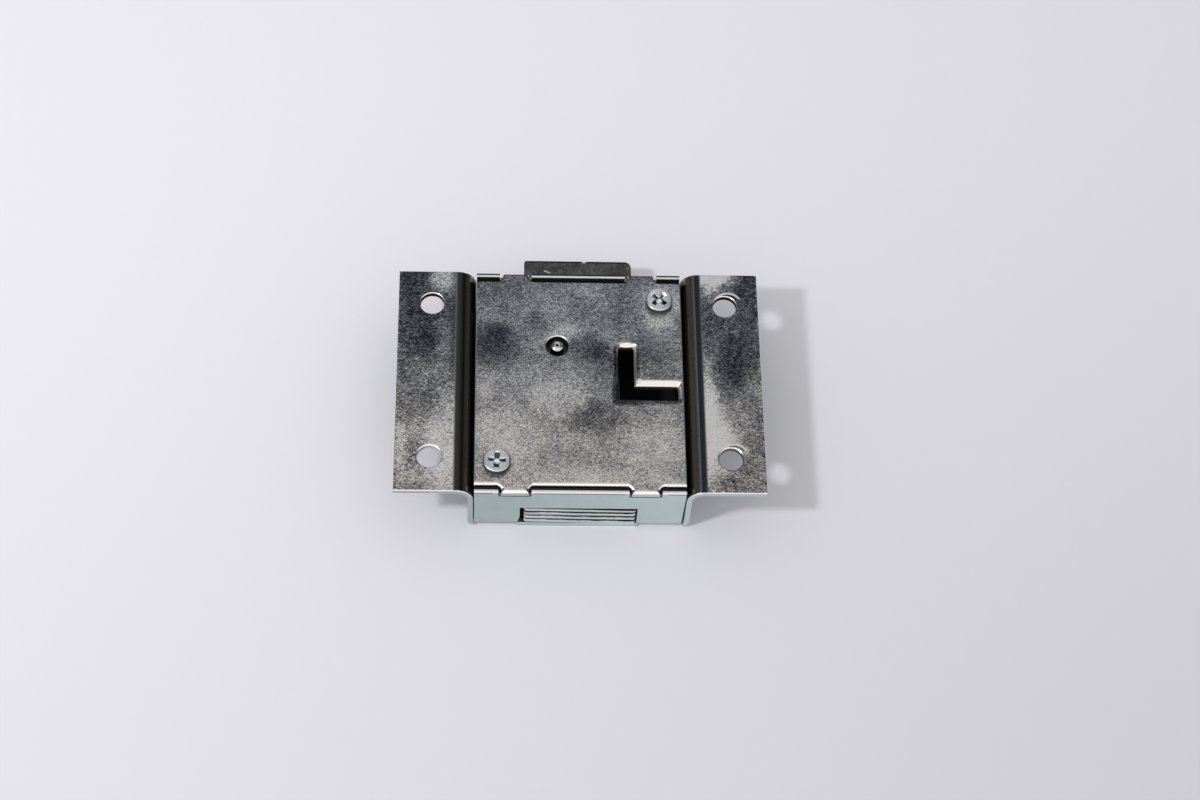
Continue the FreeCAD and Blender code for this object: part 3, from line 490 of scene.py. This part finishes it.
def makeCapFinish(finish, look, keyhole, postHole, tabs):
    material, wire = startMaterial("zincCap")
    across, along, up = place(wire)[1:]
    facingX, facingY, facingZ = facing(wire)
    surface, roughness, height = zincSheet(wire, finish, look)
    # The punch leaves a broad lip round the keyhole, with a painted highlight on its far and right sides
    # only
    away = fromKeyhole(across, along, keyhole)
    further = fromKeyhole(across, along, keyhole, keyhole["farLip"])
    awayFromLip = away.math("SMOOTH_MIN", away, further, keyhole["lipJoin"] * mm)
    lip = awayFromLip.step(keyhole["lip"]) * facingZ.ramp(*look["lipFacing"])
    # The lip is narrow beside the upright arm
    beside = across.step(look["besideAcross"], middle=keyhole["across"])
    beside = beside * along.step(look["besideAlong"], middle=keyhole["along"])
    lip = lip * (1 - beside)
    # Its left and near sides get painted shade instead
    shaded = across.step(look["shaded"], middle=keyhole["across"])
    shaded = shaded.atLeast(along.step(look["shaded"], middle=keyhole["along"]))
    surface = (lip * (1 - shaded)).blend(surface, finish["lip"])
    shadedEdge = away.step(look["shadedAway"]) * shaded * look["shadedEdge"]
    surface = shadedEdge.blend(surface, finish["shadedEdge"])
    leftwards = facingX.ramp(*look["leftFacing"]) * lip
    roughness = roughness - lip * (1 - shaded) * look["lipPolish"] + leftwards * look["leftDull"]
    dip = fromKeyhole(across, along, keyhole, keyhole["dip"]).step((0, keyhole["dipWidth"]))
    # The near edge gets a painted highlight, most of all round the tabs
    reach = (look["tipReach"] * mm, 0.0)
    edge = fromTabs(across, *tabs["tip"]).step(look["tipAway"], results=reach) + look["nearEdge"] * mm
    ragged = (roughness - finish["roughness"]) * (look["highlightRagged"] * mm)
    edgeHighlight = (along - edge + ragged).step(look["highlightAlong"]) * up.step(look["highlightUp"])
    surface = edgeHighlight.blend(surface, finish["paintedHighlight"])
    # Painted shadow in the keyhole, in the post's hole and along the sides, apart from the tabs' ends
    fromPost = distanceTo(across, along, postHole["across"], postHole["along"])
    dark = fromPost.step(look["postAway"], middle=postHole["radius"]) * up.step(look["postUp"])
    dark = dark.atLeast(away.step(look["keyholeAway"]) * up.step(look["keyholeUp"]))
    sides = facingZ.ramp(*look["sideFacing"]) * along.size().step(look["sideAlong"])
    # Edges that lean to the far side are painted dark as shade, and those that lean sideways stay as
    # dull as the sheet
    leaning = facingY.ramp(*look["leanFacing"]) * facingY.ramp(*look["leanLimit"])
    leaning = leaning * away.step(look["leanAway"]) * along.step(look["leanAlong"])
    # The near edge is painted dark as shade under its painted highlight
    under = along.step(look["underAlong"]) * up.step(look["underUp"])
    under = under * fromTabs(across, *tabs["root"]).step(look["underTabs"])
    paintedShadow = dark.atLeast(sides).atLeast(leaning).atLeast(under)
    surface = paintedShadow.blend(surface, finish["inside"])
    sideways, upwards = look["dullFacing"]
    dull = facingY.size().ramp(*sideways) * facingZ.ramp(*upwards)
    dull = dull * across.size().step(look["dullAcross"])
    shape = bump(dip, 1.0, keyhole["depth"] * mm)
    return finishMaterial(material, wire, {
        "Base Color": dull.blend(surface, finish["dull"]), "Metallic": 1 - dull.atLeast(paintedShadow),
        "Roughness": roughness, "Specular IOR Level": 0.0,
        "Normal": bump(height, *finish["bump"], under=shape)})


caseFinish = makeCaseFinish(zinc, caseLook, tabs)
capFinish = makeCapFinish(zinc, capLook, keyhole, postHole, tabs)
print("finishes: zinc sheet")


bolt = {
    # The gap colour is painted shade, between the plates and on the thrown end's edges and root
    "low": colour(0.035, 0.035, 0.037), "high": colour(0.23, 0.225, 0.22),
    "end": colour(0.72, 0.78, 0.77), "bare": colour(0.75, 0.72, 0.66), "gap": colour(0.01, 0.01, 0.01),
    "plates": 4, "bottom": 1.25, "top": 7.85, "middle": 0.15, "roughness": 0.42,
    "stretch": (1, 0.6, 1), "lineTone": 1.5, "wearTone": 1.9, "tone": 0.48,
    "gapSlope": 12.0, "gapWave": 0.35, "gapRagged": (0.25, 0.2), "gapHalf": (0.22, 0.34),
    "shadowUp": (7.2, 7.5), "shadowSlope": 0.03, "shadowWave": 0.3,
    "cutFacing": (0.85, 0.6), "faceUp": (7.0, 7.6),
    "endRim": (35.55, 35.8), "sideRim": (11.85, 12.05), "thrown": (28.0, 28.2),
    "root": ((28.8, 28.4), (27.0, 27.2)),
    "scratch": ((-7.7, 33.4), (-6.0, 32.95)), "scratchHalf": (0.22, 0.08), "scratchFade": 0.3,
    "nick": (1.6, 36.2), "nickRadius": (0.7, 0.3),
}


def makeBoltFinish(bolt):
    # Dull rolled plate, its cut ends plated and pale, with painted shade between the plates
    material, wire = startMaterial("boltSteel")
    point, across, along, up = place(wire)
    facingZ = facing(wire)[2]
    drawn = wire.node("Mapping", {}, {"Vector": point, "Scale": bolt["stretch"]})
    lines = noise(drawn, 0.5 * mm, detail=3.0, roughness=0.6, distortion=0.8, seed=21.0)
    wear = noise(point, 4 * mm, detail=3.0, roughness=0.6, seed=30.0)
    waver = noise(point, 3 * mm, detail=2.0, seed=37.0)
    tone = (lines - 0.5) * bolt["lineTone"] + (wear - 0.5) * bolt["wearTone"] + bolt["tone"]
    # The height in plates, whose whole numbers are the gaps
    thickness = (bolt["top"] - bolt["bottom"]) / bolt["plates"] * mm
    level = (up - bolt["bottom"] * mm) * (1 / thickness) + across * bolt["gapSlope"]
    level = level + (waver - 0.5) * bolt["gapWave"]
    fromMiddle = (level.math("FRACT", level) - 0.5).size()
    ragged = (waver - 0.5) * bolt["gapRagged"][0] + (lines - 0.5) * bolt["gapRagged"][1]
    gap = (fromMiddle + ragged).ramp(*bolt["gapHalf"])
    # The top plate lies in the window's shadow, most of all on the right
    shadow = up + across * bolt["shadowSlope"] + (waver - 0.5) * (bolt["shadowWave"] * mm)
    gap = gap.atLeast(shadow.step(bolt["shadowUp"]))
    cut = facingZ.size().ramp(*bolt["cutFacing"])
    pale = (lines * 0.6 + 0.7).blend(colour(0, 0, 0), bolt["end"])
    surface = cut.blend(tone.clamped().blend(bolt["low"], bolt["high"]), pale)
    surface = (gap * cut).blend(surface, bolt["gap"])
    # The thrown end has its edges and root painted dark as shade, a bright scratch and a nick
    onTop = up.step(bolt["faceUp"])
    rimShade = (across - bolt["middle"] * mm).size().step(bolt["sideRim"])
    rimShade = along.step(bolt["endRim"]).atLeast(rimShade) * along.step(bolt["thrown"])
    outer, inner = bolt["root"]
    rimShade = rimShade.atLeast(along.step(outer) * along.step(inner)) * onTop
    surface = rimShade.blend(surface, bolt["gap"])
    (startAcross, startAlong), (endAcross, endAlong) = bolt["scratch"]
    slope = (endAlong - startAlong) / (endAcross - startAcross)
    fromLine = along - startAlong * mm - (across - startAcross * mm) * slope
    fromLine = (fromLine + (waver - 0.5) * mm).size()
    onLine = across.step((0, bolt["scratchFade"]), middle=startAcross)
    onLine = onLine * across.step((0, -bolt["scratchFade"]), middle=endAcross)
    nick = distanceTo(across, along, *bolt["nick"]).step(bolt["nickRadius"])
    marks = (fromLine.step(bolt["scratchHalf"]) * onLine).atLeast(nick) * onTop
    surface = marks.blend(surface, bolt["bare"])
    return finishMaterial(material, wire, {
        "Base Color": surface, "Metallic": 1 - rimShade.atLeast(gap * cut), "Specular IOR Level": 0.0,
        "Roughness": (wear - 0.5) * 0.2 + bolt["roughness"],
        "Normal": bump(lines * 0.5 - gap * cut * 2.0, 0.5, 0.06 * mm)})


steels = {
    "turnedSteel": {"low": colour(0.10, 0.10, 0.10), "high": colour(0.34, 0.34, 0.33),
                    "seed": 33.0, "roughness": 0.32, "stretch": (1, 1, 4), "streaks": 0.5},
    # The lever steel is painted darker than bare steel, as shade within the case
    "shadedLeverSteel": {"low": colour(0.03, 0.03, 0.03), "high": colour(0.11, 0.11, 0.105),
                   "seed": 52.0, "roughness": 0.38, "stretch": (0.15, 1, 1), "streaks": 0.8},
    "springSteel": {"low": colour(0.08, 0.085, 0.11), "high": colour(0.26, 0.27, 0.32),
                    "seed": 63.0, "roughness": 0.25, "stretch": (1, 1, 6), "streaks": 0.8},
}


def makeSteel(name, look):
    # Turned, rolled or spring steel: streaks along one way and small dark pits
    material, wire = startMaterial(name)
    point = place(wire)[0]
    seed = look["seed"]
    drawn = wire.node("Mapping", {}, {"Vector": point, "Scale": look["stretch"]})
    lines = noise(drawn, 0.35 * mm, detail=3.0, roughness=0.6, seed=seed)
    pits = noise(point, 0.5 * mm, detail=2.0, seed=seed + 5)
    wear = noise(point, 5 * mm, detail=2.0, seed=seed + 9)
    tone = (lines - 0.5) * look["streaks"] + (pits - 0.5) * 0.5 + (wear - 0.5) * 0.8 + 0.5
    return finishMaterial(material, wire, {
        "Base Color": tone.clamped().blend(look["low"], look["high"]), "Metallic": 1.0,
        "Roughness": (pits - 0.5) * 0.2 + look["roughness"],
        "Normal": bump(lines * 0.6 + pits * 0.4, 0.35, 0.04 * mm)})


boltFinish = makeBoltFinish(bolt)
turnedFinish, leverFinish, springFinish = [makeSteel(name, look) for name, look in steels.items()]
print("finishes: bolt, levers, springs and turned pins")


def turned(name, middle, profile):
    # A turned piece: rings raised from its lowest end, each a radius and a height in millimetres
    bpy.ops.object.select_all(action="DESELECT")
    radius, height = profile[0]
    foot = (middle[0] * mm, middle[1] * mm, 0)
    bpy.ops.mesh.primitive_circle_add(vertices=64, radius=radius * mm, fill_type="NGON",
                                      location=(foot[0], foot[1], height * mm))
    piece = bpy.context.object
    piece.name = name
    bpy.ops.object.mode_set(mode="EDIT")
    bpy.ops.mesh.select_all(action="SELECT")
    for nextRadius, nextHeight in profile[1:]:
        rise = {"value": (0, 0, (nextHeight - height) * mm)}
        bpy.ops.mesh.extrude_region_move(TRANSFORM_OT_translate=rise)
        grow = nextRadius / radius
        bpy.ops.transform.resize(value=(grow, grow, 1), center_override=foot)
        radius, height = nextRadius, nextHeight
    bpy.ops.mesh.select_all(action="SELECT")
    bpy.ops.mesh.normals_make_consistent(inside=False)
    bpy.ops.object.mode_set(mode="OBJECT")
    bpy.ops.object.transform_apply(location=True, rotation=True, scale=True)
    return piece


def useModifier(piece, kind, settings):
    bpy.ops.object.select_all(action="DESELECT")
    piece.select_set(True)
    bpy.context.view_layer.objects.active = piece
    modifier = piece.modifiers.new(kind.lower(), kind)
    for name, setting in settings.items():
        setattr(modifier, name, setting)
    bpy.ops.object.modifier_apply(modifier=modifier.name)


def roundEdges(piece, width):
    # Bevels the sharp edges, and shades the rest smooth
    useModifier(piece, "BEVEL", {"limit_method": "ANGLE", "angle_limit": math.radians(50),
                                 "width": width * mm, "segments": 2})
    bpy.ops.object.shade_smooth_by_angle(angle=math.radians(38))


screw = {
    "axis": (17.925, 20.7), "seat": 14.8, "head": 3.0, "headHeight": 1.5, "edge": 0.25,
    "shank": 1.45, "length": 8.0, "point": 0.45, "threadRoot": 1.18, "pitch": 0.6, "rootShare": 0.4,
    "threadEnd": 0.6, "neck": 0.1,
    "underEdge": 0.06, "round": 0.35, "roundRise": 0.32, "roundDrop": 0.38,
    "crown": [(1.7, -0.02), (0.9, 0.0)],            # radius, and height from the top
    "crossLength": 4.1, "crossWidth": 1.1, "crossDepth": 0.9, "crossFloor": (2.0, 0.8),
    # Node, side of the middle, and turn of the cross in degrees
    "places": {"screwNear": ("cap_screw_near", -1, 4.0), "screwFar": ("cap_screw_far", 1, 43.0)},
    # The recess colour is painted shade, and the centre and lip colours are painted highlights
    "top": colour(0.85, 0.86, 0.88), "low": colour(0.42, 0.45, 0.46),
    "recess": colour(0.06, 0.075, 0.075), "centre": colour(0.80, 0.86, 0.84),
    "lip": colour(0.97, 0.97, 0.95), "roughness": 0.28,
    # Soft steps: from the axis, and below the top or above the seat
    "recessAway": (2.3, 2.1), "recessTop": (-0.15, -0.25),
    "farWallFacing": (-0.66, -0.72), "farWallTop": (-0.7, -0.55), "farWallAway": (0.5, 0.7),
    "skirtAway": (2.5, 2.6), "skirtUp": (1.32, 1.22),
    "lipFacing": (-0.15, -0.35), "lipAway": (2.5, 2.3),
    "centreAway": (0.8, 0.5), "centreRagged": 0.5, "centreFacing": (0.3, 0.6),
}


def crossArm(screw, middle, turn):
    # A wedge that cuts one slot of the cross, deepest in its middle
    top = screw["seat"] + screw["headHeight"]
    bpy.ops.object.select_all(action="DESELECT")
    bpy.ops.mesh.primitive_cube_add(size=mm, location=(middle[0] * mm, middle[1] * mm, top * mm))
    cutter = bpy.context.object
    bpy.ops.object.mode_set(mode="EDIT")
    bpy.ops.mesh.select_all(action="SELECT")
    middlePoint = cutter.location.copy()
    # The wedge is as tall above the head as it is deep, so its top is wider by the same taper
    floorLength, floorWidth = screw["crossFloor"]
    topLength, topWidth = 2 * screw["crossLength"] - floorLength, 2 * screw["crossWidth"] - floorWidth
    bpy.ops.transform.resize(value=(topLength, topWidth, 2 * screw["crossDepth"]),
                             center_override=middlePoint)
    mesh = bmesh.from_edit_mesh(cutter.data)
    for face in mesh.faces:
        face.select_set(face.normal.z < -0.9)
    mesh.select_flush(True)
    bmesh.update_edit_mesh(cutter.data)
    bpy.ops.transform.resize(value=(floorLength / topLength, floorWidth / topWidth, 1),
                             center_override=middlePoint)
    bpy.ops.mesh.select_all(action="SELECT")
    bpy.ops.transform.rotate(value=math.radians(turn), orient_axis="Z", center_override=middlePoint)
    bpy.ops.object.mode_set(mode="OBJECT")
    return cutter


def makeScrew(name, screw, middle, turn):
    seat, head, shank = screw["seat"], screw["head"], screw["shank"]
    top = seat + screw["headHeight"]
    profile = [(shank - screw["point"], seat - screw["length"])]
    height = seat - screw["length"] + screw["point"]
    while height < seat - screw["threadEnd"]:
        profile += [(shank, height), (screw["threadRoot"], height + screw["pitch"] * screw["rootShare"])]
        height += screw["pitch"]
    profile += [(shank, seat - screw["neck"]), (shank, seat),
                (head - screw["underEdge"], seat), (head, seat + screw["underEdge"])]
    for angle in range(0, 91, 15):
        # From the upright side over to the nearly flat top
        bend = math.radians(angle)
        profile.append((head - screw["round"] + screw["round"] * math.cos(bend),
                        top - screw["roundDrop"] + screw["roundRise"] * math.sin(bend)))
    profile += [(radius, top + rise) for radius, rise in screw["crown"]]
    piece = turned(name, middle, profile)
    for quarter in (0, 90):
        cutter = crossArm(screw, middle, turn + quarter)
        useModifier(piece, "BOOLEAN", {"operation": "DIFFERENCE", "object": cutter, "solver": "EXACT"})
        bpy.data.objects.remove(cutter)
    roundEdges(piece, screw["edge"])
    return piece


def makeScrewFinish(screw):
    # Bright zinc on the head, with painted shade in the cross and under the head's edge
    material, wire = startMaterial("zincScrew")
    point, across, along, up = place(wire)
    facingY, facingZ = facing(wire)[1:]
    grain = noise(point, 0.45 * mm, detail=2.5, roughness=0.6, distortion=0.6, seed=41.0)
    wear = noise(point, 2 * mm, detail=2.0, seed=47.0)
    tone = ((grain - 0.5) * 0.8 + (wear - 0.5) * 0.8 + 0.6).clamped()
    fromAxis = distanceTo(across.size(), along.size(), *screw["axis"])
    inCross = fromAxis.step(screw["recessAway"])
    top = screw["seat"] + screw["headHeight"]
    # The cross is painted dark as shade apart from the tops of its far walls, and its floor's middle
    # gets a painted highlight
    farWall = facingY.ramp(*screw["farWallFacing"]) * up.step(screw["farWallTop"], middle=top)
    farWall = farWall * fromAxis.step(screw["farWallAway"]) * inCross
    recess = inCross * up.step(screw["recessTop"], middle=top) * (1 - farWall)
    skirtShade = up.step(screw["skirtUp"], middle=screw["seat"]) * fromAxis.step(screw["skirtAway"])
    # Faces that turn to the near side get a painted highlight
    lip = facingY.ramp(*screw["lipFacing"]) * fromAxis.step(screw["lipAway"])
    surface = lip.blend(tone.blend(screw["low"], screw["top"]), screw["lip"])
    surface = recess.atLeast(skirtShade).blend(surface, screw["recess"])
    centre = (fromAxis + (grain - 0.5) * (screw["centreRagged"] * mm)).step(screw["centreAway"])
    centre = recess * centre * facingZ.ramp(*screw["centreFacing"])
    surface = centre.blend(surface, screw["centre"])
    return finishMaterial(material, wire, {
        "Base Color": surface, "Metallic": 1 - centre.atLeast(skirtShade).atLeast(farWall),
        "Specular IOR Level": 0.0, "Roughness": (grain - 0.5) * 0.25 + screw["roughness"],
        "Normal": bump(grain * 0.6 + wear * 0.4, 0.4, 0.05 * mm)})


screwFinish = makeScrewFinish(screw)
for name, (node, side, turn) in screw["places"].items():
    piece = makeScrew(name, screw, [side * part for part in screw["axis"]], turn)
    piece.data.materials.append(screwFinish)
    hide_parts(node)
    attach(piece, "case_body")
print("screws: two pan heads with a cross")


post = {
    "middle": (-4.8, 9.0),
    "profile": [(1.75, 0), (1.8, 0.05), (1.8, 1.2), (2.44, 1.2), (2.5, 1.26), (2.5, 8.09), (2.44, 8.15),
                (2.1, 8.15), (2.1, 13.17), (2.04, 13.22), (1.45, 13.22), (1.45, 14.3), (1.42, 14.52),
                (1.33, 14.74), (1.15, 14.93), (0.92, 15.06), (0.65, 15.13), (0.45, 15.15), (0.36, 15.12),
                (0.26, 15.02), (0.12, 14.96)],
    # The tip colour is a painted highlight, and the flank colour painted shade
    "tip": colour(0.80, 0.80, 0.79), "flankShade": colour(0.035, 0.04, 0.04), "roughness": 0.26,
    "tipUp": (14.4, 14.9), "dimple": (0.3, 0.45), "turningMarks": 9000.0,
}


def makePostFinish(post):
    # A tip with a painted highlight on a post painted dark as shade, with faint turning marks
    material, wire = startMaterial("postSteel")
    point, across, along, up = place(wire)
    fromAxis = distanceTo(across, along, *post["middle"])
    marks = fromAxis * post["turningMarks"]
    rings = marks.math("SINE", marks) * 0.5 + 0.5
    wear = noise(point, 0.8 * mm, detail=3.0, seed=71.0)
    bright = up.step(post["tipUp"]) * fromAxis.step(post["dimple"])
    tint = ((wear - 0.5) * 0.9 + 0.8 + rings * 0.1).clamped().blend(colour(0, 0, 0), post["tip"])
    return finishMaterial(material, wire, {
        "Base Color": bright.blend(post["flankShade"], tint), "Metallic": 1.0,
        "Roughness": (wear - 0.5) * 0.3 + post["roughness"],
        "Normal": bump(rings * 0.3 + wear, 0.4, 0.04 * mm)})


piece = turned("leverPost", post["middle"], post["profile"])
bpy.ops.object.shade_smooth_by_angle(angle=math.radians(35))
piece.data.materials.append(makePostFinish(post))
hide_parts("lever_post")
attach(piece, "case_body")
print("post: turned, with its dimpled tip")


springs = {
    "count": 4, "strip": 0.3, "height": 0.8, "edge": 0.05, "steps": 28,
    "radius": 12.0, "middleAlong": 0.2,             # of the curve, on its outside
    "seat": 2.4,                                    # how deep the lever holds its end
}


def makeSpring(name, node, springs):
    # A strip spun round from its free tip at the side wall to the end that the lever holds
    low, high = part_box(node)
    radius, strip = springs["radius"] * mm, springs["strip"] * mm
    middle = (low[0] + radius, springs["middleAlong"] * mm, (low[2] + high[2]) / 2)
    start = (low[0] + strip / 2, middle[1], middle[2])
    bpy.ops.object.select_all(action="DESELECT")
    bpy.ops.mesh.primitive_plane_add(size=mm, location=start, rotation=(math.pi / 2, 0, 0))
    piece = bpy.context.object
    piece.name = name
    bpy.ops.object.mode_set(mode="EDIT")
    bpy.ops.mesh.select_all(action="SELECT")
    bpy.ops.transform.resize(value=(springs["strip"], 1, springs["height"]), center_override=start)
    turn = math.pi - math.acos((high[0] - middle[0]) / radius)
    bpy.ops.mesh.spin(steps=springs["steps"], angle=turn, center=middle, axis=(0, 0, 1))
    bpy.ops.mesh.select_all(action="SELECT")
    bpy.ops.mesh.normals_make_consistent(inside=False)
    bpy.ops.object.mode_set(mode="OBJECT")
    bpy.ops.object.transform_apply(location=True, rotation=True, scale=True)
    roundEdges(piece, springs["edge"])
    leaves = high[0] - springs["seat"] * mm
    held = (leaves, middle[1] + math.sqrt(radius * radius - (leaves - middle[0]) ** 2), middle[2])
    return piece, held, (low[0], middle[1], middle[2])


for number in range(1, springs["count"] + 1):
    # Each strip takes its CAD spring's place; the held end and the tip that makeSpring works out are not
    # used
    piece, held, tip = makeSpring(f"leverSpring{number}", f"lever_spring_{number}", springs)
    piece.data.materials.append(springFinish)
    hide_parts(f"lever_spring_{number}")
    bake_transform(piece)
print("springs:", springs["count"], "curved strips that bend with their levers")


finishes = {
    "case": caseFinish, "cap": capFinish,
    "cap_screw": screwFinish, "pillar": turnedFinish, "lever_post": turnedFinish,
    "lever_washer": leverFinish, "bolt_plate": boltFinish, "bolt_rivet": turnedFinish,
    "bolt_stump": turnedFinish, "lever_spring": springFinish, "lever": leverFinish,
}


def finishFor(node):
    # The longest name that the node's own name starts with
    return finishes[max((name for name in finishes if node.startswith(name)), key=len)]


for name, piece in nodes.items():
    piece.data.materials.clear()
    piece.data.materials.append(finishFor(name))
print("finishes on", len(nodes), "pieces")
